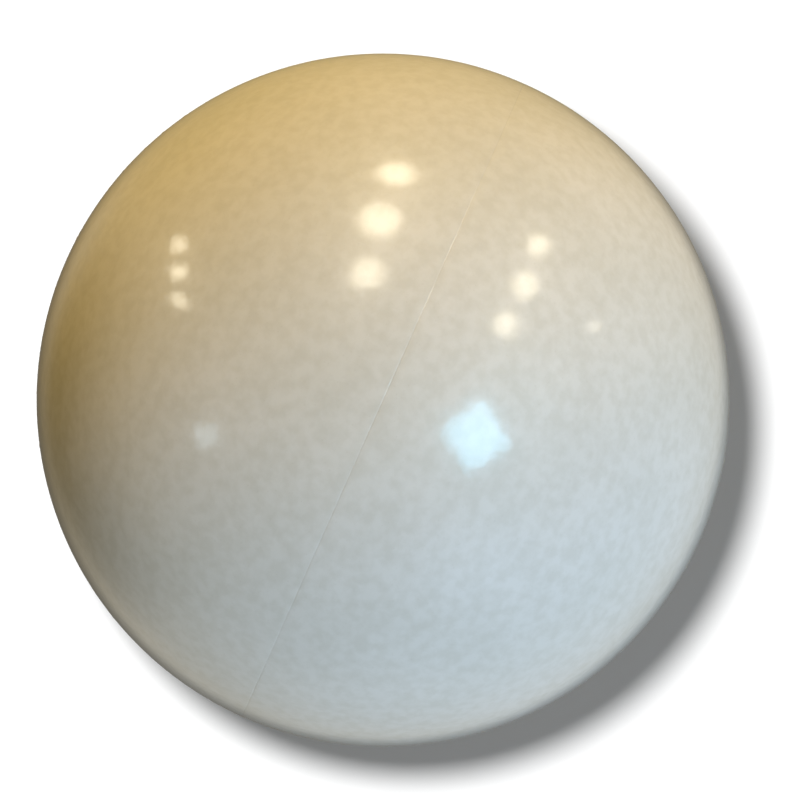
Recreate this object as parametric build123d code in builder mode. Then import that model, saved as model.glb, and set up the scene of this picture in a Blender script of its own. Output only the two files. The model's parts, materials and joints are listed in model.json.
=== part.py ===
"""A white four-piece cricket ball, modelled as it comes apart on a bench.

The ball's centre is the origin. The stitched seam lies in the XY plane, so +Z is the seam's axis and the ball
rests on the smooth cheek of its lower cup. Inside the leather, from the centre outwards: a cork-rubber centre,
five windings of yarn with a layer of cork strips over each, a last binding of yarn, a lining cup in each half and
a packing ring under the joint. All sizes are in millimetres.
"""

import os
from math import cos, degrees, hypot, pi, radians, sin, sqrt

from build123d import *

os.makedirs("parts", exist_ok=True)

# ---------------------------------------------------------------------------------------------------------------
# Driving dimensions
# ---------------------------------------------------------------------------------------------------------------
BALL_R = 36.0  # leather away from the seam: 72 mm across, 226 mm round
COVER_THICKNESS = 3.3
LINING_THICKNESS = 0.7
FIT = 0.02  # the room left between one shell and the next

SEAM_HALF_WIDTH = 11.0  # from the joint to where the leather starts to rise, along the surface
SEAM_SWELL = 0.5  # how far the leather stands up at the joint
LIP_ROUND = 0.4  # rounding of the leather's edge at the joint

STITCHES = 80  # in each row
LACING_OFFSET = 1.5  # from the joint to each row of stitches, along the surface
MIDDLE_OFFSET = 4.7
OUTER_OFFSET = 7.8
THREAD_R = 0.42
THREAD_BED = 0.34  # how deep the thread is bedded in the leather
THREAD_ROOM = 0.06  # round the thread in its hole or groove
STITCH_GAP = 0.12  # between one stitch and the next
STITCH_ARCH = 0.1  # the rise of a stitch in its middle
STITCH_BEND_R = 0.5  # the thread's radius where it turns down into its hole
STITCH_CROWN_R = 4.0  # and over its middle

LACING_LEG = 1.0  # down into the leather, from its surface
LACING_DEPTH = 1.75  # where the lacing crosses the joint, below the surface
BOBBIN_R = 0.3  # the under thread that locks the other rows, on the flesh side

PACKING_R = 33.3
PACKING_HALF_WIDTH = 4.5
PACKING_ROUND = 0.3

QUARTER_THREAD_R = 0.25  # the hidden stitches of the quarter seams
QUARTER_LOOP_R = 0.62
QUARTER_LOOP_DEPTH = 2.2  # their centres, below the leather's surface
QUARTER_LOOPS = 31
QUARTER_LOOP_STEP = 4.4  # degrees

CENTRE_R = 12.5
LAYERS = 5
WINDING_THICKNESS = 2.1
CORK_THICKNESS = 1.5
YARN_PITCH = 2.0
YARN_RIB = 0.4  # how far one turn of yarn stands out of its winding
YARN_EYE_R = 0.6  # the eye left at each end of a winding
CORK_STRIPS = 6
CORK_GAP = 1.0  # degrees between one cork piece and the next
CORK_DISC = 12.0  # degrees from the pole to the edge of the disc over the strips' ends
LAYER_TURN = (54.0, 0.0, 72.0)  # degrees: each layer lies across the one below

# ---------------------------------------------------------------------------------------------------------------
# Worked out from them
# ---------------------------------------------------------------------------------------------------------------
COVER_INNER_R = BALL_R - COVER_THICKNESS
QUILT_R = COVER_INNER_R - LINING_THICKNESS
SEAM_EDGE_ANGLE = SEAM_HALF_WIDTH / BALL_R
STITCH_ANGLE = 360 / STITCHES
GROOVE_R = THREAD_R + THREAD_ROOM
STITCH_HEIGHT = THREAD_R - THREAD_BED  # the thread's line over the leather's surface
PACKING_SEAT = PACKING_HALF_WIDTH + FIT

# Each cup's first quarter is the upper one that lies on the +Y side; the others are copies, turned about the
# centre. The lower cup's quarter seam is square to the upper cup's.
QUARTER_TURNS = {
    "cover_quarter_upper_back": (0, 0, 0),
    "cover_quarter_upper_front": (0, 0, 180),
    "cover_quarter_lower_left": (180, 0, 90),
    "cover_quarter_lower_right": (180, 0, 270),
}
CUP_TURNS = {"upper": (0, 0, 0), "lower": (180, 0, 90)}


def on_circle(radius, angle):
    """A point of the ball's section, at an angle in radians above the seam."""
    return (radius * cos(angle), radius * sin(angle))


def seam_arc():
    """Centre and radius of the arc that lifts the section off the sphere, tangent to it, up to the joint."""
    lip_r = BALL_R + SEAM_SWELL
    reach = (lip_r**2 - BALL_R**2) / (2 * (lip_r * cos(SEAM_EDGE_ANGLE) - BALL_R))
    return on_circle(reach, SEAM_EDGE_ANGLE), BALL_R - reach


SEAM_CENTRE, SEAM_ARC_R = seam_arc()


def surface_radius(latitude):
    """How far the leather's surface is from the ball's centre, at an angle in radians above the seam."""
    reach = SEAM_CENTRE[0] * cos(latitude) + SEAM_CENTRE[1] * sin(latitude)
    return reach + sqrt(reach**2 - hypot(*SEAM_CENTRE) ** 2 + SEAM_ARC_R**2)


def stitch_plane(latitude):
    """The plane that a stitch of the upper cup is drawn in: x along the seam, y out of the ball."""
    origin_x, origin_z = on_circle(surface_radius(latitude), latitude)
    return Plane(origin=(origin_x, 0, origin_z), x_dir=(0, 1, 0), z_dir=(sin(latitude), 0, -cos(latitude)))


def turned(piece, angles):
    """A copy of a finished piece, turned about the ball's centre."""
    with BuildPart() as copy:
        with Locations(Location((0, 0, 0), angles)):
            add(piece.part)
    return copy


def save(piece, name):
    """Labels a finished piece and writes its STEP file."""
    piece.part.label = name
    export_step(piece.part, f"parts/{name}.step")
    print(f"{name}: {len(piece.part.solids())} solids, {piece.part.volume:.0f} mm3")


# ---------------------------------------------------------------------------------------------------------------
# The quilt: the cork-rubber centre, and the layers of yarn and cork round it
# ---------------------------------------------------------------------------------------------------------------
def winding(inner_r, outer_r):
    """A winding of yarn: a hollow ball with one rib for each turn round Z, and an eye at each end."""
    turns = round(pi * outer_r / YARN_PITCH)
    valley_r = outer_r - YARN_RIB
    stops = [pi * i / turns - pi / 2 for i in range(turns + 1)]
    with BuildPart() as shell:
        with BuildSketch(Plane.XZ):
            with BuildLine():
                for low, high in zip(stops, stops[1:]):
                    crown = on_circle(outer_r, (low + high) / 2)
                    ThreePointArc(on_circle(valley_r, low), crown, on_circle(valley_r, high))
                Line((0, valley_r), (0, -valley_r))
            make_face()
        revolve(axis=Axis.Z)
        Sphere(inner_r, mode=Mode.SUBTRACT)
        Cylinder(YARN_EYE_R, 2 * outer_r, mode=Mode.SUBTRACT)
    return shell


def shell_slice(inner_r, outer_r, low, high, arc):
    """Part of a hollow ball between two angles in radians above its equator, turned through arc degrees."""
    middle = (low + high) / 2
    with BuildPart() as piece:
        with BuildSketch(Plane.XZ):
            with BuildLine():
                ThreePointArc(on_circle(inner_r, low), on_circle(inner_r, middle), on_circle(inner_r, high))
                Line(on_circle(inner_r, high), on_circle(outer_r, high))
                ThreePointArc(on_circle(outer_r, high), on_circle(outer_r, middle), on_circle(outer_r, low))
                Line(on_circle(outer_r, low), on_circle(inner_r, low))
            make_face()
        revolve(axis=Axis.Z, revolution_arc=arc)
    return piece


def cork_layer(inner_r, outer_r):
    """A layer of cork: strips side by side round Z, and a disc over each end of them."""
    strip_end = radians(90 - CORK_DISC)
    disc_edge = strip_end + radians(CORK_GAP)
    strip = shell_slice(inner_r, outer_r, -strip_end, strip_end, 360 / CORK_STRIPS - CORK_GAP)
    disc = shell_slice(inner_r, outer_r, disc_edge, pi / 2, 360)
    with BuildPart() as layer:
        with PolarLocations(0, CORK_STRIPS):
            add(strip.part)
        add(disc.part)
        add(disc.part, rotation=(180, 0, 0))
    return layer


def make_quilt():
    """The whole inside of the ball, layer by layer. Each layer lies across the one below."""
    with BuildPart() as centre:
        Sphere(CENTRE_R)
    save(centre, "core_centre")
    radius = CENTRE_R
    for layer in range(1, LAYERS + 1):
        turn = tuple(layer * angle for angle in LAYER_TURN)
        cork_r = radius + WINDING_THICKNESS
        save(turned(winding(radius + FIT, cork_r), turn), f"yarn_winding_{layer}")
        radius = cork_r + CORK_THICKNESS
        save(turned(cork_layer(cork_r + FIT, radius), turn), f"cork_layer_{layer}")
    save(winding(radius + FIT, QUILT_R), "yarn_binding")


# ---------------------------------------------------------------------------------------------------------------
# Between the quilt and the leather
# ---------------------------------------------------------------------------------------------------------------
def make_linings():
    """A thin leather cup in each half, from the packing ring to the pole."""
    inner_r, outer_r = QUILT_R + FIT, COVER_INNER_R - FIT
    low = (PACKING_SEAT + FIT) / QUILT_R
    lining = shell_slice(inner_r, outer_r, low, pi / 2, 360)
    for cup, turn in CUP_TURNS.items():
        save(turned(lining, turn), f"lining_{cup}")


def make_packing():
    """The ring under the joint, which makes the seam stand up."""
    inner_r = QUILT_R + FIT
    inner_x = sqrt(inner_r**2 - PACKING_HALF_WIDTH**2)
    with BuildPart() as ring:
        with BuildSketch(Plane.XZ) as section:
            with BuildLine():
                low, high = (inner_x, -PACKING_HALF_WIDTH), (inner_x, PACKING_HALF_WIDTH)
                ThreePointArc(low, (inner_r, 0), high)
                Polyline(high, (PACKING_R, PACKING_HALF_WIDTH), (PACKING_R, -PACKING_HALF_WIDTH), low)
            make_face()
            fillet(section.vertices().group_by(Axis.X)[-1], PACKING_ROUND)
        revolve(axis=Axis.Z)
    save(ring, "packing_ring")


# ---------------------------------------------------------------------------------------------------------------
# Stitches
# ---------------------------------------------------------------------------------------------------------------
def stitch_row(offset, leg):
    """A row of the upper cup: stitches end to end, each with two legs down into the leather."""
    latitude = offset / BALL_R
    surface_r = surface_radius(latitude)
    pitch = 2 * pi * surface_r * cos(latitude) / STITCHES
    half = (pitch - STITCH_GAP) / 2 - THREAD_R
    foot = half * (1 - leg / surface_r)  # the legs lean towards the ball's centre
    with BuildPart() as stitch:
        with BuildLine(stitch_plane(latitude)) as path:
            FilletPolyline(
                (-foot, -leg),
                (-half, STITCH_HEIGHT),
                (0, STITCH_HEIGHT + STITCH_ARCH),
                (half, STITCH_HEIGHT),
                (foot, -leg),
                radius=[STITCH_BEND_R, STITCH_CROWN_R, STITCH_BEND_R],
            )
        with BuildSketch(Plane(origin=path.line @ 0, z_dir=path.line % 0)):
            Circle(THREAD_R)
        sweep(path=path.line)
    with BuildPart() as row:
        with PolarLocations(0, STITCHES):
            add(stitch.part)
    return row


def flesh_radius(offset):
    """How far the leather's inner side is from the ball's centre, under a row of stitches."""
    latitude = offset / BALL_R
    over_packing = (PACKING_R + FIT) / cos(latitude)
    return over_packing if over_packing * sin(latitude) < PACKING_SEAT else COVER_INNER_R


def bobbin_radius(offset):
    """How far the under thread of a row is from the ball's centre."""
    return flesh_radius(offset) + BOBBIN_R


def locked_leg(offset):
    """How far a locked stitch goes down, to just above its under thread."""
    return surface_radius(offset / BALL_R) - bobbin_radius(offset) - BOBBIN_R - THREAD_ROOM


def under_thread(offset, radius):
    """The under thread of a row of the upper cup, or the channel for it: one ring round the ball."""
    ring_x, ring_z = on_circle(bobbin_radius(offset), offset / BALL_R)
    with BuildPart() as ring:
        with Locations((0, 0, ring_z)):
            Torus(ring_x, radius)
    return ring


def make_rows():
    """The six rows of the seam, the under threads of the four outer ones, and the lacing's crossings."""
    rows = {
        "lacing_row": stitch_row(LACING_OFFSET, LACING_LEG),
        "middle_row": stitch_row(MIDDLE_OFFSET, locked_leg(MIDDLE_OFFSET)),
        "outer_row": stitch_row(OUTER_OFFSET, locked_leg(OUTER_OFFSET)),
        "middle_under_thread": under_thread(MIDDLE_OFFSET, BOBBIN_R),
        "outer_under_thread": under_thread(OUTER_OFFSET, BOBBIN_R),
    }
    for name, row in rows.items():
        for cup, turn in CUP_TURNS.items():
            save(turned(row, turn), f"{name}_{cup}")
    save(lacing_crossings(), "lacing_crossings")


def lacing_crossings():
    """The lacing inside the leather: a loop at each pair of holes, from one cup's lip to the other's."""
    latitude = LACING_OFFSET / BALL_R
    top_x, top_z = on_circle(surface_radius(latitude) - LACING_LEG - THREAD_ROOM, latitude)
    deep_x, deep_z = on_circle(surface_radius(latitude) - LACING_DEPTH, latitude)
    with BuildPart() as loop:
        with BuildLine(Plane.XZ) as path:
            FilletPolyline(
                (top_x, top_z), (deep_x, deep_z), (deep_x, -deep_z), (top_x, -top_z), radius=STITCH_BEND_R
            )
        with BuildSketch(Plane(origin=path.line @ 0, z_dir=path.line % 0)):
            Circle(THREAD_R)
        sweep(path=path.line)
    with BuildPart() as loops:
        with PolarLocations(0, STITCHES, start_angle=STITCH_ANGLE / 2):
            add(loop.part)
    return loops


def quarter_loops(thread_r):
    """The hidden stitches along the upper cup's quarter seam, or the channels for them."""
    loop_r = BALL_R - QUARTER_LOOP_DEPTH
    first = 90 - QUARTER_LOOP_STEP * (QUARTER_LOOPS - 1) / 2
    angles = [radians(first + QUARTER_LOOP_STEP * i) for i in range(QUARTER_LOOPS)]
    planes = [
        Plane(origin=(loop_r * cos(a), 0, loop_r * sin(a)), x_dir=(0, 1, 0), z_dir=(-sin(a), 0, cos(a)))
        for a in angles
    ]
    with BuildPart() as loops:
        with Locations(*planes):
            Torus(QUARTER_LOOP_R, thread_r)
    return loops


# ---------------------------------------------------------------------------------------------------------------
# The cover: four quarters of leather, two to a cup
# ---------------------------------------------------------------------------------------------------------------
def hole_arc(offset, depth):
    """How far round Z a hole reaches, in degrees: it takes two legs side by side, down to its bottom."""
    latitude = offset / BALL_R
    surface_r = surface_radius(latitude)
    bottom_r = surface_r - depth
    width = (2 * THREAD_R + STITCH_GAP) * bottom_r / surface_r + 2 * GROOVE_R
    return degrees(width / (bottom_r * cos(latitude)))


def awl_hole(offset, depth, to_joint):
    """A hole of the upper cup, from the XZ plane towards +Y: a wedge, with a window at its bottom to the joint."""
    latitude = offset / BALL_R
    top_r = surface_radius(latitude) + THREAD_R
    bottom_r = surface_radius(latitude) - depth
    with BuildPart() as hole:
        with BuildSketch(Plane.XZ):
            with Locations(on_circle((top_r + bottom_r) / 2, latitude)):
                Rectangle(top_r - bottom_r, 2 * GROOVE_R, rotation=degrees(latitude))
            if to_joint:
                window_x, window_z = on_circle(bottom_r + GROOVE_R, latitude)
                with Locations((window_x, window_z / 2)):
                    Rectangle(2 * GROOVE_R, window_z)
        revolve(axis=Axis.Z, revolution_arc=hole_arc(offset, depth))
    return hole


def make_cover():
    """One quarter, on the +Y side of the upper cup, and its three copies."""
    edge = on_circle(BALL_R, SEAM_EDGE_ANGLE)
    rise = on_circle(surface_radius(SEAM_EDGE_ANGLE / 2), SEAM_EDGE_ANGLE / 2)
    lip = (BALL_R + SEAM_SWELL, 0)
    seat_x = sqrt(COVER_INNER_R**2 - PACKING_SEAT**2)
    shoulder = on_circle(BALL_R, (SEAM_EDGE_ANGLE + pi / 2) / 2)
    holes = [
        (LACING_OFFSET, LACING_DEPTH + GROOVE_R, True),
        (MIDDLE_OFFSET, locked_leg(MIDDLE_OFFSET) + 2 * THREAD_ROOM, False),
        (OUTER_OFFSET, locked_leg(OUTER_OFFSET) + 2 * THREAD_ROOM, False),
    ]
    awl_holes = [(awl_hole(*hole), (STITCH_ANGLE - hole_arc(*hole[:2])) / 2) for hole in holes]

    with BuildPart() as quarter:
        with BuildSketch(Plane.XZ) as section:
            with BuildLine():
                ThreePointArc((0, BALL_R), shoulder, edge)
                ThreePointArc(edge, rise, lip)
                Polyline(lip, (PACKING_R + FIT, 0), (PACKING_R + FIT, PACKING_SEAT), (seat_x, PACKING_SEAT))
                ThreePointArc((seat_x, PACKING_SEAT), on_circle(COVER_INNER_R, pi / 4), (0, COVER_INNER_R))
                Line((0, COVER_INNER_R), (0, BALL_R))
            make_face()
            fillet(section.vertices().sort_by(Axis.X)[-1], LIP_ROUND)
        revolve(axis=Axis.Z, revolution_arc=180)

        # The grooves that the stitches lie in
        with BuildSketch(Plane.XZ):
            for offset in (LACING_OFFSET, MIDDLE_OFFSET, OUTER_OFFSET):
                latitude = offset / BALL_R
                with Locations(on_circle(surface_radius(latitude) + STITCH_HEIGHT, latitude)):
                    Circle(GROOVE_R)
        revolve(axis=Axis.Z, revolution_arc=180, mode=Mode.SUBTRACT)

        # The awl holes, with the lacing's way through the lip
        for hole, first in awl_holes:
            with PolarLocations(0, STITCHES // 2, start_angle=first, angular_range=180):
                add(hole.part, mode=Mode.SUBTRACT)

        # Channels for the under threads and the quarter seam's stitches
        for offset in (MIDDLE_OFFSET, OUTER_OFFSET):
            add(under_thread(offset, BOBBIN_R + FIT).part, mode=Mode.SUBTRACT)
        add(quarter_loops(QUARTER_THREAD_R + FIT).part, mode=Mode.SUBTRACT)

    for name, turn in QUARTER_TURNS.items():
        save(turned(quarter, turn), name)
    for cup, turn in CUP_TURNS.items():
        save(turned(quarter_loops(QUARTER_THREAD_R), turn), f"quarter_stitches_{cup}")


make_quilt()
make_linings()
make_packing()
make_rows()
make_cover()
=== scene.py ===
"""The looks of a white cricket ball, built round its CAD frame.

Lengths are in millimetres where the leather and the stitches are worked out, and in metres where Blender
takes them. The ball's centre is the origin and its seam lies in the XY plane. The camera looks straight down
on the upper cup, so the seam is just past the ball's outline.
"""

import json
from math import asin, cos, pi, radians, sin, tan

import bmesh
import bpy
import numpy as np
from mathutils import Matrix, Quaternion, Vector


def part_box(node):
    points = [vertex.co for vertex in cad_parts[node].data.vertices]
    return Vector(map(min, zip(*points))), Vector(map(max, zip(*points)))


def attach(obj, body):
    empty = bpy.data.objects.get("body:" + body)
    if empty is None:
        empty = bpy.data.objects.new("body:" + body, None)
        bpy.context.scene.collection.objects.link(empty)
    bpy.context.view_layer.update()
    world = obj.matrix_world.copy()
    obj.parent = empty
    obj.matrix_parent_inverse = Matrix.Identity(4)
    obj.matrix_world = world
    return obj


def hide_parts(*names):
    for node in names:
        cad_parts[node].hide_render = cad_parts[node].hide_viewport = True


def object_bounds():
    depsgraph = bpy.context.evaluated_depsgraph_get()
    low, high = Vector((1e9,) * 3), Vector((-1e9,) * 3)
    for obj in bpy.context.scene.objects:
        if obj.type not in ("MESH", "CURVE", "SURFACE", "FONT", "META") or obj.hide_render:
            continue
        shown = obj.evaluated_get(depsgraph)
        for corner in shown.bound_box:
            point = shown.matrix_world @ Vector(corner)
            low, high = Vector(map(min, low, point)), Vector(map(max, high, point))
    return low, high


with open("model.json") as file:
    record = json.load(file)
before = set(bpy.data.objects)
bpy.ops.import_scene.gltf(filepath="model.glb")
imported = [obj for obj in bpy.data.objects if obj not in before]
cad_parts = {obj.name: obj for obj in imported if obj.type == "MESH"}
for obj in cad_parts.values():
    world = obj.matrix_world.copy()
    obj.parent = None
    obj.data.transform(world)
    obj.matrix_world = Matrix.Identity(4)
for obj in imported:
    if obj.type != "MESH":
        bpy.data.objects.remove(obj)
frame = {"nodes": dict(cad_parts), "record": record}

CAD_BOX = [list(corner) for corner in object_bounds()]
MM = 0.001
rng = np.random.default_rng(72)

# ----------------------------------------------------------------------------------------------------------
# Driving dimensions, in millimetres: the same ball as the CAD
# ----------------------------------------------------------------------------------------------------------
BALL_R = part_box("cover_quarter_upper_back")[1].z / MM
COVER_THICKNESS = 3.3
COVER_INNER_R = BALL_R - COVER_THICKNESS
SEAM_HALF_WIDTH = 11.0
SEAM_SWELL = 0.5
SEAM_EDGE_ANGLE = SEAM_HALF_WIDTH / BALL_R

STITCHES = 80
STITCH_ANGLE = 2 * pi / STITCHES
STITCH_PITCH = STITCH_ANGLE * BALL_R
ROW_OFFSETS = {"lacing": 1.5, "middle": 4.7, "outer": 7.8}

# The leather's relief at the seam
LIP_R = 0.55  # rounding of the edge at the joint
LIP_GAP = 0.02
TROUGH_DEPTH = 0.16  # the stitches pull a trough into the leather
TROUGH_WIDTH = 0.62
HOLE_DEPTH = 0.26  # and a dimple where they go down
HOLE_WIDTH = 0.42
PILLOW = 0.07  # the leather swells between the rows
PILLOW_WIDTH = 0.8
PUCKER = 0.045  # and gathers beside them
PUCKER_AWAY, PUCKER_WIDTH = 0.85, 0.6
PULL_SPREAD = 0.22  # some stitches pull harder than others, by up to this share

# The quarter seam: two edges of leather, pressed together under the lacquer
EDGE = 0.06  # how far from the seam's middle the edge starts to round off
EDGE_DROPS = ((0.35, 0.004), (0.0, 0.012))  # (share of EDGE left, depth)

# The thread
THREAD_R = 0.42
PLIES = 3
PLY_DEPTH = 0.15  # how deep the grooves between the plies are, of its radius
PLY_TURN = 2.3  # length of one turn of the twist
STITCH_HALF = 1.33
STITCH_TOP = -0.12  # the thread's line over the leather in the stitch's middle
STITCH_DIVE = 1.0  # how much lower it is at the stitch's ends
STITCH_FLATNESS = 3.2  # power: the line stays level in the middle, then turns down
STITCH_SLANT = 0.13  # to the row, over its length
STITCH_CROWDING = 0.82  # its points stand closer together towards the ends
TIP_TAPER = 0.16  # it is thinner at its ends, by this share
THREAD_AROUND, THREAD_ALONG = 18, 22

# How one stitch differs from the next: the lowest and the highest value
DIVE_SHARES = 0.92, 1.08
LENGTH_SHARES = 0.97, 1.02
WIDTH_SHARES = 0.95, 1.04
MORE_SLANT = -0.03, 0.03
RAISED = -0.035, 0.02  # off the leather
SHIFTED = -0.03, 0.03  # along the row

# Mesh density
AROUND = 640  # along the joint, in one quarter
STRIP_ROWS = 58
LIP_ROWS = 10  # of the strip's rows
LIP_START = 0.02  # radians round the lip, of the first row
STRIP_PAST = 0.6  # how far the strip goes on past the swell
DOME = AROUND // 4  # squares across the whole dome
DOME_GAP = 0.3  # from the strip's last row to the dome's edge
INNER_AROUND, INNER_ROWS = 64, 24


# ----------------------------------------------------------------------------------------------------------
# Meshes
# ----------------------------------------------------------------------------------------------------------
def make_mesh(name, points, faces):
    """A new smooth object from points in millimetres, with its faces turned outwards."""
    mesh = bpy.data.meshes.new(name)
    mesh.from_pydata((np.asarray(points) * MM).tolist(), [], faces)
    shell = bmesh.new()
    shell.from_mesh(mesh)
    bmesh.ops.recalc_face_normals(shell, faces=shell.faces)
    shell.to_mesh(mesh)
    shell.free()
    mesh.shade_smooth()
    piece = bpy.data.objects.new(name, mesh)
    bpy.context.scene.collection.objects.link(piece)
    return piece


def on_sphere(radius, longitude, latitude):
    """Points at a radius, from angles in radians."""
    flat = radius * np.cos(latitude)
    return np.stack([flat * np.cos(longitude), flat * np.sin(longitude), radius * np.sin(latitude)], axis=-1)


def swell_arc():
    """Centre and radius of the arc that lifts the section off the sphere, up to the joint."""
    lip_r = BALL_R + SEAM_SWELL
    reach = (lip_r**2 - BALL_R**2) / (2 * (lip_r * cos(SEAM_EDGE_ANGLE) - BALL_R))
    return reach * cos(SEAM_EDGE_ANGLE), reach * sin(SEAM_EDGE_ANGLE), BALL_R - reach


SWELL_X, SWELL_Z, SWELL_R = swell_arc()


def surface_radius(latitude):
    """How far the leather is from the ball's centre, before its relief, at latitudes in radians."""
    reach = SWELL_X * np.cos(latitude) + SWELL_Z * np.sin(latitude)
    inside = reach**2 - SWELL_X**2 - SWELL_Z**2 + SWELL_R**2
    return np.where(latitude < SEAM_EDGE_ANGLE, reach + np.sqrt(np.maximum(inside, 0)), BALL_R)


PULLS = {row: 1 + rng.uniform(-PULL_SPREAD, PULL_SPREAD, STITCHES) for row in ROW_OFFSETS}


def relief(offset, longitude):
    """The leather's height over its swell, at a distance from the joint and a longitude in radians."""
    turn = longitude / STITCH_ANGLE
    hole = (turn % 1 - 0.5) * STITCH_PITCH
    height = np.zeros_like(offset)
    for row, row_offset in ROW_OFFSETS.items():
        pull = PULLS[row][np.floor(turn).astype(int) % STITCHES]
        across = offset - row_offset
        height -= TROUGH_DEPTH * np.exp(-((across / TROUGH_WIDTH) ** 2))
        height -= HOLE_DEPTH * pull * np.exp(-((hole / HOLE_WIDTH) ** 2) - (across / HOLE_WIDTH) ** 2)
        gather = np.exp(-(((np.abs(across) - PUCKER_AWAY) / PUCKER_WIDTH) ** 2))
        height += PUCKER * pull * gather * np.cos(2 * pi * turn)
    offsets = sorted(ROW_OFFSETS.values())
    for low, high in zip(offsets, offsets[1:]):
        height += PILLOW * np.exp(-(((offset - (low + high) / 2) / PILLOW_WIDTH) ** 2))
    lip = np.clip(LIP_R - offset, 0, LIP_R)
    return height - (LIP_R - np.sqrt(LIP_R**2 - lip**2))


def cover_points(longitude, latitude):
    """Points of the leather's outer side."""
    return on_sphere(surface_radius(latitude) + relief(latitude * BALL_R, longitude), longitude, latitude)


def strip_offsets():
    """Distances from the joint of the strip's rows: close together where the lip turns down."""
    lip = LIP_R * (1 - np.cos(np.linspace(LIP_START, pi / 2, LIP_ROWS)))
    rest = np.linspace(LIP_R, SEAM_HALF_WIDTH + STRIP_PAST, STRIP_ROWS - LIP_ROWS + 1)[1:]
    return np.concatenate([lip, rest]) + LIP_GAP


def dome_angles(across, up):
    """(distance from the pole from 0 to 1, longitude) of a point of a half square: its squares stay even."""
    if up > abs(across):
        return up, pi / 2 - pi / 4 * across / up
    if across == 0:
        return 0.0, 0.0
    if across > 0:
        return across, pi / 4 * up / across
    return -across, pi + pi / 4 * up / across


def point_grid(first, rows, columns):
    """The numbers of a grid's points, row by row, from a first number on."""
    return np.arange(first, first + rows * columns).reshape(rows, columns)


def grid_faces(grid):
    """The squares of a grid of points."""
    return [(row[k], row[k + 1], above[k + 1], above[k])
            for row, above in zip(grid.tolist(), grid[1:].tolist()) for k in range(len(row) - 1)]


def joined_line(up, across, down):
    """The points of a line that goes up one side of a grid, across, and down the other side."""
    return [*map(int, up), *map(int, across), *map(int, reversed(down))]


def bridge(one, other, points):
    """Triangles between two open rows of points that start and end together."""
    def stops(row):
        steps = np.linalg.norm(np.diff(points[row], axis=0), axis=1)
        return np.concatenate([[0], np.cumsum(steps)]) / steps.sum()

    a, b, faces = 0, 0, []
    stops_a, stops_b = stops(one), stops(other)
    while a < len(one) - 1 or b < len(other) - 1:
        if b == len(other) - 1 or (a < len(one) - 1 and stops_a[a + 1] <= stops_b[b + 1]):
            faces.append((one[a], one[a + 1], other[b]))
            a += 1
        else:
            faces.append((one[a], other[b + 1], other[b]))
            b += 1
    return faces


def outer_points():
    """The leather's outer side: a strip along the joint, and a dome of even squares over the rest."""
    latitudes = strip_offsets() / BALL_R
    grid_lon, grid_lat = np.meshgrid(np.linspace(0, pi, AROUND + 1), latitudes)
    strip = cover_points(grid_lon.ravel(), grid_lat.ravel())
    half = DOME // 2
    reach = pi / 2 - latitudes[-1] - DOME_GAP / BALL_R
    angles = [dome_angles(2 * i / DOME - 1, j / half) for j in range(half + 1) for i in range(DOME + 1)]
    away, dome_lon = np.array(angles).T
    return strip, cover_points(dome_lon, pi / 2 - away * reach)


def inner_points():
    """The leather's inner side, up to the pole."""
    grid_lon, grid_lat = np.meshgrid(np.linspace(0, pi, INNER_AROUND + 1),
                                     np.linspace(strip_offsets()[0] / BALL_R, pi / 2, INNER_ROWS + 1)[:-1])
    return on_sphere(COVER_INNER_R, grid_lon.ravel(), grid_lat.ravel())


def quarter_geometry():
    """Points and faces of the upper cup's quarter on the +Y side: a closed piece of leather."""
    outer_strip, outer_dome = outer_points()
    inner_side = inner_points()
    points = np.concatenate([outer_strip, outer_dome, inner_side, [[0, 0, COVER_INNER_R]]])
    strip = point_grid(0, STRIP_ROWS, AROUND + 1)
    dome = point_grid(strip.size, DOME // 2 + 1, DOME + 1)
    inner = point_grid(strip.size + dome.size, INNER_ROWS, INNER_AROUND + 1)
    pole = len(points) - 1

    # The outer side: two squares of the strip meet one of the dome
    faces = grid_faces(strip) + grid_faces(dome)
    rim = joined_line(dome[:, -1], dome[-1, -2:0:-1], dome[:, 0])
    top_row = strip[-1].tolist()
    for c in range(AROUND // 2):
        low, middle, high = top_row[2 * c:2 * c + 3]
        faces += [(low, middle, rim[c]), (middle, rim[c + 1], rim[c]), (middle, high, rim[c + 1])]

    # The inner side
    faces += grid_faces(inner)
    faces += [(low, high, pole) for low, high in zip(inner[-1].tolist(), inner[-1, 1:].tolist())]

    # The quarter seam's edge: rounded off in a few steps, then down to the inner side
    points[:, 1] = EDGE + points[:, 1] * (1 - EDGE / BALL_R)
    line = joined_line(strip[:, -1], dome[0], strip[:, 0])
    edge = points[line]
    first_corner, last_corner = [line[0]], [line[-1]]
    for share, drop in EDGE_DROPS:
        step = edge * (1 - drop / np.linalg.norm(edge, axis=1, keepdims=True))
        step[:, 1] = EDGE * share
        next_line = list(range(len(points), len(points) + len(step)))
        points = np.concatenate([points, step])
        faces += [(line[k], line[k + 1], next_line[k + 1], next_line[k]) for k in range(len(step) - 1)]
        line = next_line
        first_corner.append(line[0])
        last_corner.append(line[-1])
    inner_line = joined_line(inner[:, -1], [pole], inner[:, 0])
    points[inner_line, 1] = EDGE * EDGE_DROPS[-1][0]
    faces += bridge(line, inner_line, points)

    # The joint's face, from the lip to the inner side
    faces += bridge(strip[0].tolist(), inner[0].tolist(), points)
    faces += [(*first_corner, int(inner[0, -1])), (*last_corner, int(inner[0, 0]))]
    return points, faces


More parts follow.
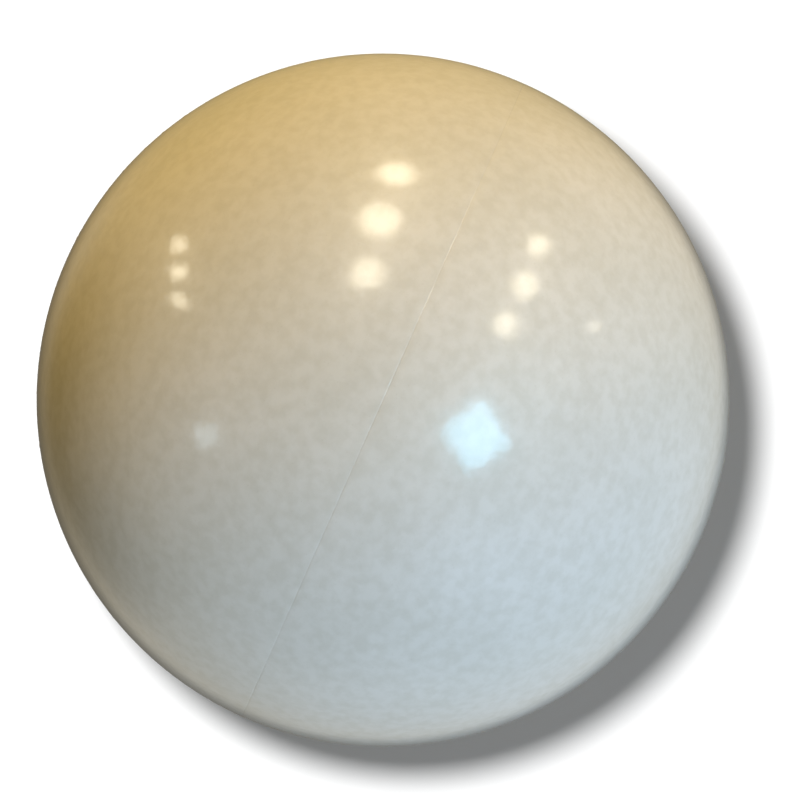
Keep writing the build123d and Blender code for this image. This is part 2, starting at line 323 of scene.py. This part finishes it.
def stitch_geometry(dive, plies_at):
    """One stitch along X on a surface that faces +Y: a twisted thread that goes down at both ends."""
    along = np.linspace(-1, 1, THREAD_ALONG)
    around = np.linspace(0, 2 * pi, THREAD_AROUND, endpoint=False)
    line_x = STITCH_HALF * np.sin(along * pi / 2 * STITCH_CROWDING) / sin(pi / 2 * STITCH_CROWDING)
    line_y = STITCH_TOP - dive * np.abs(along) ** STITCH_FLATNESS
    tangent_x, tangent_y = np.gradient(line_x), np.gradient(line_y)
    length = np.hypot(tangent_x, tangent_y)
    run = np.cumsum(length)
    phase = plies_at + 2 * pi * run / PLY_TURN
    radius = THREAD_R * (1 - TIP_TAPER * np.abs(along) ** 4)
    points = []
    for k in range(THREAD_ALONG):
        lobes = 1 - PLY_DEPTH * (1 - np.abs(np.cos(PLIES / 2 * (around - phase[k]))))
        reach = radius[k] * lobes
        up = reach * np.cos(around)
        points.append(np.stack([line_x[k] - up * tangent_y[k] / length[k],
                                line_y[k] + up * tangent_x[k] / length[k],
                                reach * np.sin(around)], axis=-1))
    points = np.concatenate(points)
    ring = [(k * THREAD_AROUND + a, k * THREAD_AROUND + (a + 1) % THREAD_AROUND) for k in range(THREAD_ALONG)
            for a in range(THREAD_AROUND)]
    faces = [(a, b, b + THREAD_AROUND, a + THREAD_AROUND) for a, b in ring[:-THREAD_AROUND]]
    faces += [tuple(range(THREAD_AROUND)), tuple(range(len(points) - THREAD_AROUND, len(points)))]
    return points, faces


def row_geometry(row):
    """One row of the upper cup: its stitches end to end, each a little different."""
    latitude = ROW_OFFSETS[row] / BALL_R
    radius = float(surface_radius(np.array(latitude)))
    scale = cos(latitude)
    every_point, every_face = [], []
    for k in range(STITCHES):
        dive = STITCH_DIVE * rng.uniform(*DIVE_SHARES)
        points, faces = stitch_geometry(dive, rng.uniform(0, 2 * pi))
        points = points * [scale * rng.uniform(*LENGTH_SHARES), 1, rng.uniform(*WIDTH_SHARES)]
        points[:, 2] += points[:, 0] * (STITCH_SLANT + rng.uniform(*MORE_SLANT))
        points[:, 1] += rng.uniform(*RAISED)
        turn = k * STITCH_ANGLE + rng.uniform(*SHIFTED) / radius
        east = np.array([-sin(turn), cos(turn), 0])
        out = np.array([cos(turn) * cos(latitude), sin(turn) * cos(latitude), sin(latitude)])
        points[:, 1] -= points[:, 0] ** 2 / (2 * radius)
        placed = points[:, :1] * east + (radius + points[:, 1:2]) * out + points[:, 2:] * np.cross(out, east)
        every_face += [tuple(corner + len(every_point) * len(points) for corner in face) for face in faces]
        every_point.append(placed)
    return np.concatenate(every_point), every_face


# ----------------------------------------------------------------------------------------------------------
# Materials
# ----------------------------------------------------------------------------------------------------------
class Finish:
    """A material under construction: a principled shader, and the noise that feeds it."""

    def __init__(self, name, **sockets):
        self.material = bpy.data.materials.new(name)
        self.material.use_nodes = True
        self.tree = self.material.node_tree
        self.shader = self.tree.nodes["Principled BSDF"]
        self.where = self.tree.nodes.new("ShaderNodeTexCoord").outputs["Object"]
        self.bump = None
        for socket, value in sockets.items():
            self.shader.inputs[socket.replace("_", " ")].default_value = value

    def link(self, source, target):
        self.tree.links.new(source, target)

    def noise(self, size, detail=4, stretch=None):
        """Noise with features of a size in millimetres."""
        node = self.tree.nodes.new("ShaderNodeTexNoise")
        node.inputs["Scale"].default_value = 1 / (size * MM)
        node.inputs["Detail"].default_value = detail
        self.link(self.stretched(stretch), node.inputs["Vector"])
        return node.outputs["Fac"]

    def cells(self, size, feature="F1"):
        """Distance across cells of a size in millimetres."""
        node = self.tree.nodes.new("ShaderNodeTexVoronoi")
        node.feature = feature
        node.inputs["Scale"].default_value = 1 / (size * MM)
        self.link(self.where, node.inputs["Vector"])
        return node.outputs["Distance"]

    def stretched(self, stretch):
        """Where a point is, scaled along X, Y and Z."""
        if stretch is None:
            return self.where
        node = self.tree.nodes.new("ShaderNodeMapping")
        node.inputs["Scale"].default_value = stretch
        self.link(self.where, node.inputs["Vector"])
        return node.outputs["Vector"]

    def ramp(self, source, *stops):
        """Colours along a value: each stop is (position, colour)."""
        node = self.tree.nodes.new("ShaderNodeValToRGB")
        while len(node.color_ramp.elements) < len(stops):
            node.color_ramp.elements.new(0.5)
        for element, (position, colour) in zip(node.color_ramp.elements, stops):
            element.position = position
            element.color = (*colour, 1)
        self.link(source, node.inputs["Fac"])
        return node.outputs["Color"]

    def multiply(self, amount, base, other):
        """A colour times another, by an amount from 0 to 1."""
        node = self.tree.nodes.new("ShaderNodeMix")
        node.data_type, node.blend_type = "RGBA", "MULTIPLY"
        node.inputs["Factor"].default_value = amount
        self.link(base, node.inputs["A"])
        self.link(other, node.inputs["B"])
        return node.outputs["Result"]

    def spread(self, source, low, high, start=0.3, end=0.7):
        """A value, taken from the source's range to another."""
        node = self.tree.nodes.new("ShaderNodeMapRange")
        for socket, value in zip(("From Min", "From Max", "To Min", "To Max"), (start, end, low, high)):
            node.inputs[socket].default_value = value
        self.link(source, node.inputs["Value"])
        return node.outputs["Result"]

    def colour(self, source):
        self.link(source, self.shader.inputs["Base Color"])

    def rough(self, source):
        self.link(source, self.shader.inputs["Roughness"])

    def raise_by(self, source, height, coat=False):
        """Bump by a height in millimetres. Each call goes over the last."""
        node = self.tree.nodes.new("ShaderNodeBump")
        node.inputs["Strength"].default_value = 1
        node.inputs["Distance"].default_value = height * MM
        self.link(source, node.inputs["Height"])
        if self.bump:
            self.link(self.bump, node.inputs["Normal"])
        self.bump = node.outputs["Normal"]
        self.link(self.bump, self.shader.inputs["Normal"])
        if coat:
            self.link(self.bump, self.shader.inputs["Coat Normal"])


def leather_finish():
    """White leather under a glossy lacquer."""
    finish = Finish("white_lacquered_leather", Coat_Weight=1.0, Coat_Roughness=0.12, Coat_IOR=1.5,
                    Specular_IOR_Level=0.4)
    broad = finish.ramp(finish.noise(14, 3), (0.3, (0.715, 0.715, 0.68)), (0.7, (0.78, 0.775, 0.745)))
    mottle = finish.ramp(finish.noise(1.1, 6), (0.35, (0.90, 0.895, 0.87)), (0.62, (1, 1, 1)))
    mottled = finish.multiply(0.8, broad, mottle)
    pores = finish.ramp(finish.cells(0.55), (0.0, (0.9, 0.89, 0.87)), (0.16, (1, 1, 1)))
    finish.colour(finish.multiply(0.6, mottled, pores))
    finish.rough(finish.spread(finish.noise(3, 5), 0.34, 0.5))
    finish.raise_by(finish.noise(4, 3), 0.02, coat=True)
    finish.raise_by(finish.cells(0.6, "SMOOTH_F1"), 0.006, coat=True)
    finish.raise_by(finish.noise(0.12, 3), 0.002)
    return finish.material


def thread_finish(name, dark, light):
    """Waxed linen thread."""
    finish = Finish(name, Sheen_Weight=0.25, Sheen_Roughness=0.4, Specular_IOR_Level=0.35)
    base = finish.ramp(finish.noise(0.9, 5), (0.3, dark), (0.7, light))
    fibres = finish.ramp(finish.noise(0.09, 2), (0.3, (0.72, 0.7, 0.66)), (0.65, (1, 1, 1)))
    finish.colour(finish.multiply(0.7, base, fibres))
    finish.rough(finish.spread(finish.noise(0.5, 3), 0.45, 0.68))
    finish.raise_by(finish.noise(0.08, 2), 0.03)
    return finish.material


def yarn_finish():
    """Worsted wool, wound tight."""
    finish = Finish("wool_yarn", Roughness=0.85, Sheen_Weight=0.5, Sheen_Roughness=0.5)
    base = finish.ramp(finish.noise(5, 4), (0.3, (0.52, 0.44, 0.31)), (0.7, (0.72, 0.64, 0.50)))
    hairs = finish.ramp(finish.noise(0.25, 4, (1, 1, 3)), (0.3, (0.6, 0.56, 0.5)), (0.62, (1, 1, 1)))
    finish.colour(finish.multiply(0.8, base, hairs))
    finish.raise_by(finish.noise(0.3, 4, (1, 1, 3)), 0.12)
    return finish.material


def cork_finish():
    """Natural cork: pale cells with dark pores."""
    finish = Finish("cork", Roughness=0.8, Specular_IOR_Level=0.3)
    base = finish.ramp(finish.noise(3, 5), (0.3, (0.36, 0.2, 0.09)), (0.7, (0.58, 0.38, 0.2)))
    pores = finish.ramp(finish.noise(0.9, 3, (1, 1, 0.5)), (0.34, (0.2, 0.13, 0.08)), (0.42, (1, 1, 1)))
    finish.colour(finish.multiply(0.85, base, pores))
    finish.raise_by(finish.noise(0.9, 3, (1, 1, 0.5)), 0.15)
    finish.raise_by(finish.cells(0.35), 0.04)
    return finish.material


def composite_finish():
    """Cork granules bound in rubber."""
    finish = Finish("cork_rubber", Specular_IOR_Level=0.4)
    granules = finish.cells(1.3)
    finish.colour(finish.ramp(granules, (0.0, (0.36, 0.2, 0.1)), (0.45, (0.2, 0.1, 0.05)),
                              (0.6, (0.035, 0.03, 0.028))))
    finish.rough(finish.spread(granules, 0.75, 0.5, 0.2, 0.6))
    finish.raise_by(granules, 0.08)
    return finish.material


def lining_finish():
    """Thin split leather, rough side out."""
    finish = Finish("split_leather", Roughness=0.75, Sheen_Weight=0.3, Sheen_Roughness=0.5)
    finish.colour(finish.ramp(finish.noise(2.5, 7), (0.3, (0.3, 0.17, 0.09)), (0.7, (0.5, 0.33, 0.19))))
    finish.raise_by(finish.noise(0.3, 5), 0.08)
    return finish.material


def packing_finish():
    """Felted cotton."""
    finish = Finish("cotton_packing", Roughness=0.9, Sheen_Weight=0.5, Sheen_Roughness=0.5)
    finish.colour(finish.ramp(finish.noise(0.8, 6, (1, 1, 0.4)), (0.3, (0.55, 0.5, 0.41)),
                              (0.7, (0.76, 0.72, 0.63))))
    finish.raise_by(finish.noise(0.35, 5, (1, 1, 0.4)), 0.1)
    return finish.material


SLOT_FINISHES = {
    "cover_leather": leather_finish(),
    "seam_thread": thread_finish("seam_thread", (0.36, 0.31, 0.22), (0.58, 0.52, 0.40)),
    "under_thread": thread_finish("under_thread", (0.46, 0.42, 0.33), (0.68, 0.64, 0.54)),
    "yarn": yarn_finish(),
    "cork": cork_finish(),
    "core_composite": composite_finish(),
    "lining_leather": lining_finish(),
    "packing": packing_finish(),
}
NODE_SLOTS = {subpart["node"]: subpart["material_slot"] for subpart in frame["record"]["subparts"]}


def finish_with(piece, slot):
    """Gives a piece the material of a slot."""
    piece.data.materials.clear()
    piece.data.materials.append(SLOT_FINISHES[slot])


# ----------------------------------------------------------------------------------------------------------
# The pieces, in their places
# ----------------------------------------------------------------------------------------------------------
BACK = np.eye(3)
FRONT = np.diag([-1.0, -1.0, 1.0])  # half a turn about Z
TURNED_OVER = np.array([[0, -1, 0], [-1, 0, 0], [0, 0, -1]])  # the lower cup: over, and a quarter round
PLACES = {
    "cover_quarter_upper_back": BACK,
    "cover_quarter_upper_front": FRONT,
    "cover_quarter_lower_left": TURNED_OVER,
    "cover_quarter_lower_right": FRONT @ TURNED_OVER,
}


def put_piece(node, points, faces, turn):
    """A piece that stands for a CAD node of the ball."""
    piece = make_mesh(f"shaped_{node}", points @ turn.T, faces)
    slot = NODE_SLOTS[node]
    finish_with(piece, slot)
    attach(piece, "root")
    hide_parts(node)


for node, cad in frame["nodes"].items():
    finish_with(cad, NODE_SLOTS[node])

quarter_points, quarter_faces = quarter_geometry()
for node, turn in PLACES.items():
    put_piece(node, quarter_points, quarter_faces, turn)
for row in ROW_OFFSETS:
    for cup, turn in (("upper", BACK), ("lower", TURNED_OVER)):
        put_piece(f"{row}_row_{cup}", *row_geometry(row), turn)


# ----------------------------------------------------------------------------------------------------------
# Floor, light and camera
# ----------------------------------------------------------------------------------------------------------
FLOOR_Z = CAD_BOX[0][2]
FLOOR_HALF = 3.0
# The floor glows a little far from the ball, where the near lamp is weak: (metres away, light)
FLOOR_GLOW = (0.0, 0.0), (0.10, 0.0), (0.2, 0.3), (0.35, 0.52), (0.6, 0.66), (1.0, 0.75)
# A near lamp throws the shadow to the lower right: (azimuth, elevation, distance)
SHADOW_LAMP = (135, 83.7, 0.1036)
SHADOW_LAMP_R = 0.0045
SHADOW_LAMP_STRENGTH = 56.0
# And a broad light from above, which sets the shadow's own grey
FLOOR_LIGHT_COLOUR = (0.24, 0.44, 0.78)
FLOOR_LIGHT_STRENGTH = 1.1
FLOOR_LIGHT_SPREAD = 110  # degrees

CAMERA_DISTANCE = 0.105
OUTLINE_SHARE = 0.866  # of the frame's half width, taken by the ball's radius
OFF_CENTRE = 0.02125  # the ball's centre is left of the frame's, in frame widths
VIEW_TURN = -66  # degrees from +X to the view's right, so that the quarter seam passes between the lamps
CLIP_START, CLIP_END = 0.001, 20

ROOM_BACKDROP = (0.93, 0.93, 0.93)
ROOM_LIGHT = (0.228, 0.168, 0.055)
TABLE_LIGHT = (0.53, 0.47, 0.36)  # from the white table, below the seam
TABLE_EDGE = (-0.25, 0.15)  # sines of the elevations between which the table gives way to the room
# Parts of the table are darker: (azimuth, elevation, colour, cosine at the patch's edge and at its middle)
TABLE_PATCHES = (
    (0, -90, (0.13, 0.12, 0.10), 0.66, 0.84),
    (95, -20, (0.46, 0.36, 0.18), 0.5, 0.9),
    (186, -15, (0.03, 0.02, 0.0), 0.72, 0.97),
)

# Diffuse light on the ball: (name, azimuth, elevation, colour, power), all from large soft boxes
SOFT_BOX_DISTANCE, SOFT_BOX_SIZE = 0.9, 0.5
SOFT_BOXES = (
    ("day_right", 0, 50, (0.59, 0.79, 1.0), 4.1),
    ("day_front", 300, 35, (0.44, 0.68, 1.0), 4.5),
    ("warm_back_low", 90, 15, (1.0, 0.68, 0.19), 4.22),
    ("warm_back_high", 90, 35, (1.0, 0.44, 0.0), 1.56),
)
# Rows of ceiling lamps, seen in the gloss: (name, azimuth, elevation, width and height, radiance)
GLOSS_DISTANCE = 0.53
LAMP_COLOUR = (1.0, 0.91, 0.70)
LAMPS = (
    ("lamp_left_1", 142.7, 9.4, (0.029, 0.060), 10.5),
    ("lamp_left_2", 148, 15.5, (0.033, 0.068), 11.5),
    ("lamp_left_3", 154, 21, (0.028, 0.062), 11),
    ("lamp_middle_1", 86.5, 21, (0.084, 0.074), 10.8),
    ("lamp_middle_2", 91, 37, (0.100, 0.102), 10.8),
    ("lamp_middle_3", 97, 53.6, (0.090, 0.088), 10.4),
    ("lamp_right_1", 45, 23.4, (0.047, 0.072), 10.2),
    ("lamp_right_2", 39, 36, (0.055, 0.086), 10.4),
    ("lamp_right_3", 32, 48.4, (0.062, 0.072), 10.2),
    ("lamp_far_right", 19.2, 22, (0.024, 0.052), 5),
)
# The windows: the same, then the colour and the roll in degrees
WINDOWS = (
    ("window", 339, 61.6, (0.142, 0.134), 11, (0.34, 0.75, 1.0), 54),
    ("small_window", 191.4, 37, (0.052, 0.066), 4.3, (0.68, 0.87, 1.0), 0),
)


def make_floor():
    """A plain white table top."""
    corners = [(x * FLOOR_HALF, y * FLOOR_HALF, FLOOR_Z) for x, y in ((-1, -1), (1, -1), (1, 1), (-1, 1))]
    mesh = bpy.data.meshes.new("floor")
    mesh.from_pydata(corners, [], [(0, 1, 2, 3)])
    top = bpy.data.objects.new("floor", mesh)
    bpy.context.scene.collection.objects.link(top)
    paint = Finish("floor_paint", Roughness=0.9, Specular_IOR_Level=0.1)
    paint.colour(paint.ramp(paint.noise(40, 3), (0.3, (0.69, 0.69, 0.69)), (0.7, (0.71, 0.71, 0.71))))
    away = paint.tree.nodes.new("ShaderNodeVectorMath")
    away.operation = "LENGTH"
    paint.link(paint.where, away.inputs[0])
    glow = paint.tree.nodes.new("ShaderNodeFloatCurve")
    for place, amount in FLOOR_GLOW[1:-1]:
        glow.mapping.curves[0].points.new(place, amount)
    for point, place in zip((0, -1), (FLOOR_GLOW[0], FLOOR_GLOW[-1])):
        glow.mapping.curves[0].points[point].location = place
    glow.mapping.update()
    paint.link(away.outputs["Value"], glow.inputs["Value"])
    paint.link(glow.outputs["Value"], paint.shader.inputs["Emission Strength"])
    paint.shader.inputs["Emission Color"].default_value = (1, 1, 1, 1)
    mesh.materials.append(paint.material)
    top.visible_diffuse = False
    top.visible_glossy = False
    return top


def polar(azimuth, elevation, distance=1.0):
    """A place round the ball: degrees from the view's right to its top, degrees over the seam, metres."""
    a, e = radians(azimuth + VIEW_TURN), radians(elevation)
    return Vector((cos(a) * cos(e), sin(a) * cos(e), sin(e))) * distance


def add_light(data, place, roll=0.0):
    """Puts a light at a place, facing the ball's centre. The camera doesn't see it."""
    light = bpy.data.objects.new(data.name, data)
    bpy.context.scene.collection.objects.link(light)
    light.location = place
    turn = (-place).to_track_quat("-Z", "Y") @ Quaternion((0, 0, 1), radians(roll))
    light.rotation_euler = turn.to_euler()
    light.visible_camera = False
    return light


def light_group(light, state):
    """INCLUDE: the light falls on the floor alone. EXCLUDE: on all but the floor. The ball blocks it."""
    group = bpy.data.collections.new(f"{light.name}_group")
    group.objects.link(floor)
    group.collection_objects[0].light_linking.link_state = state
    light.light_linking.receiver_collection = group


def soft_box(name, azimuth, elevation, colour, power):
    """A large diffuse light on the ball."""
    data = bpy.data.lights.new(name, "AREA")
    data.shape, data.size = "DISK", SOFT_BOX_SIZE
    data.color, data.energy = colour, power
    light = add_light(data, polar(azimuth, elevation, SOFT_BOX_DISTANCE))
    light.visible_glossy = False
    light_group(light, "EXCLUDE")


def gloss_light(shape, name, azimuth, elevation, size, radiance, colour, roll=0.0):
    """A lamp or a window that shows only in the ball's gloss."""
    data = bpy.data.lights.new(name, "AREA")
    data.shape, data.size, data.size_y = shape, *size
    area = size[0] * size[1] * (1 if shape == "RECTANGLE" else pi / 4)
    data.color, data.energy = colour, radiance * pi * area
    light = add_light(data, polar(azimuth, elevation, GLOSS_DISTANCE), roll)
    light.visible_diffuse = False
    light_group(light, "EXCLUDE")


def floor_lights():
    """The near lamp that throws the ball's shadow, and a broad light from above."""
    lamp = bpy.data.lights.new("shadow_lamp", "POINT")
    lamp.shadow_soft_size = SHADOW_LAMP_R
    lamp.energy = 1.0
    lamp.use_nodes = True
    tree = lamp.node_tree
    falloff = tree.nodes.new("ShaderNodeLightFalloff")
    falloff.inputs["Strength"].default_value = SHADOW_LAMP_STRENGTH
    tree.links.new(falloff.outputs["Constant"], tree.nodes["Emission"].inputs["Strength"])
    above = bpy.data.lights.new("floor_light", "SUN")
    above.angle = radians(FLOOR_LIGHT_SPREAD)
    above.color, above.energy = FLOOR_LIGHT_COLOUR, FLOOR_LIGHT_STRENGTH
    for data, place in ((lamp, polar(*SHADOW_LAMP)), (above, Vector((0, 0, 1)))):
        light = add_light(data, place)
        light.visible_glossy = False
        light_group(light, "INCLUDE")


def make_camera():
    """Straight above the ball."""
    data = bpy.data.cameras.new("camera")
    camera = bpy.data.objects.new("camera", data)
    bpy.context.scene.collection.objects.link(camera)
    camera.location = (0, 0, CAMERA_DISTANCE)
    camera.rotation_euler.z = radians(VIEW_TURN)
    data.sensor_width = 36.0
    outline = tan(asin(BALL_R * MM / CAMERA_DISTANCE))
    data.lens = data.sensor_width / 2 * OUTLINE_SHARE / outline
    data.shift_x = OFF_CENTRE
    data.clip_start, data.clip_end = CLIP_START, CLIP_END
    bpy.context.scene.camera = camera


def make_room():
    """The room round the ball, seen in its gloss, and a pale backdrop for the camera."""
    world = bpy.data.worlds.new("room")
    world.use_nodes = True
    tree = world.node_tree

    def towards(direction, start, end):
        """How much of a ray goes in a direction, eased from 0 to 1 between two cosines."""
        along = tree.nodes.new("ShaderNodeVectorMath")
        along.operation = "DOT_PRODUCT"
        along.inputs[1].default_value = direction
        tree.links.new(ray.outputs["Generated"], along.inputs[0])
        ease = tree.nodes.new("ShaderNodeMapRange")
        ease.interpolation_type = "SMOOTHSTEP"
        ease.inputs["From Min"].default_value = start
        ease.inputs["From Max"].default_value = end
        tree.links.new(along.outputs["Value"], ease.inputs["Value"])
        return ease.outputs["Result"]

    def background(colour):
        node = tree.nodes.new("ShaderNodeBackground")
        node.inputs["Color"].default_value = (*colour, 1)
        return node.outputs["Background"]

    def blend(amount, one, other):
        node = tree.nodes.new("ShaderNodeMixShader")
        for socket, source in zip(node.inputs, (amount, one, other)):
            tree.links.new(source, socket)
        return node.outputs["Shader"]

    ray = tree.nodes.new("ShaderNodeTexCoord")
    camera_ray = tree.nodes.new("ShaderNodeLightPath").outputs["Is Camera Ray"]
    table = background(TABLE_LIGHT)
    for azimuth, elevation, colour, start, end in TABLE_PATCHES:
        table = blend(towards(polar(azimuth, elevation), start, end), table, background(colour))
    room = blend(towards((0, 0, 1), *TABLE_EDGE), table, background(ROOM_LIGHT))
    seen = blend(camera_ray, room, background(ROOM_BACKDROP))
    tree.links.new(seen, tree.nodes["World Output"].inputs["Surface"])
    bpy.context.scene.world = world


floor = make_floor()
make_camera()
make_room()
floor_lights()
for box in SOFT_BOXES:
    soft_box(*box)
for lamp in LAMPS:
    gloss_light("ELLIPSE", *lamp, LAMP_COLOUR)
for window in WINDOWS:
    gloss_light("RECTANGLE", *window)

bpy.context.scene.view_settings.view_transform = "Standard"
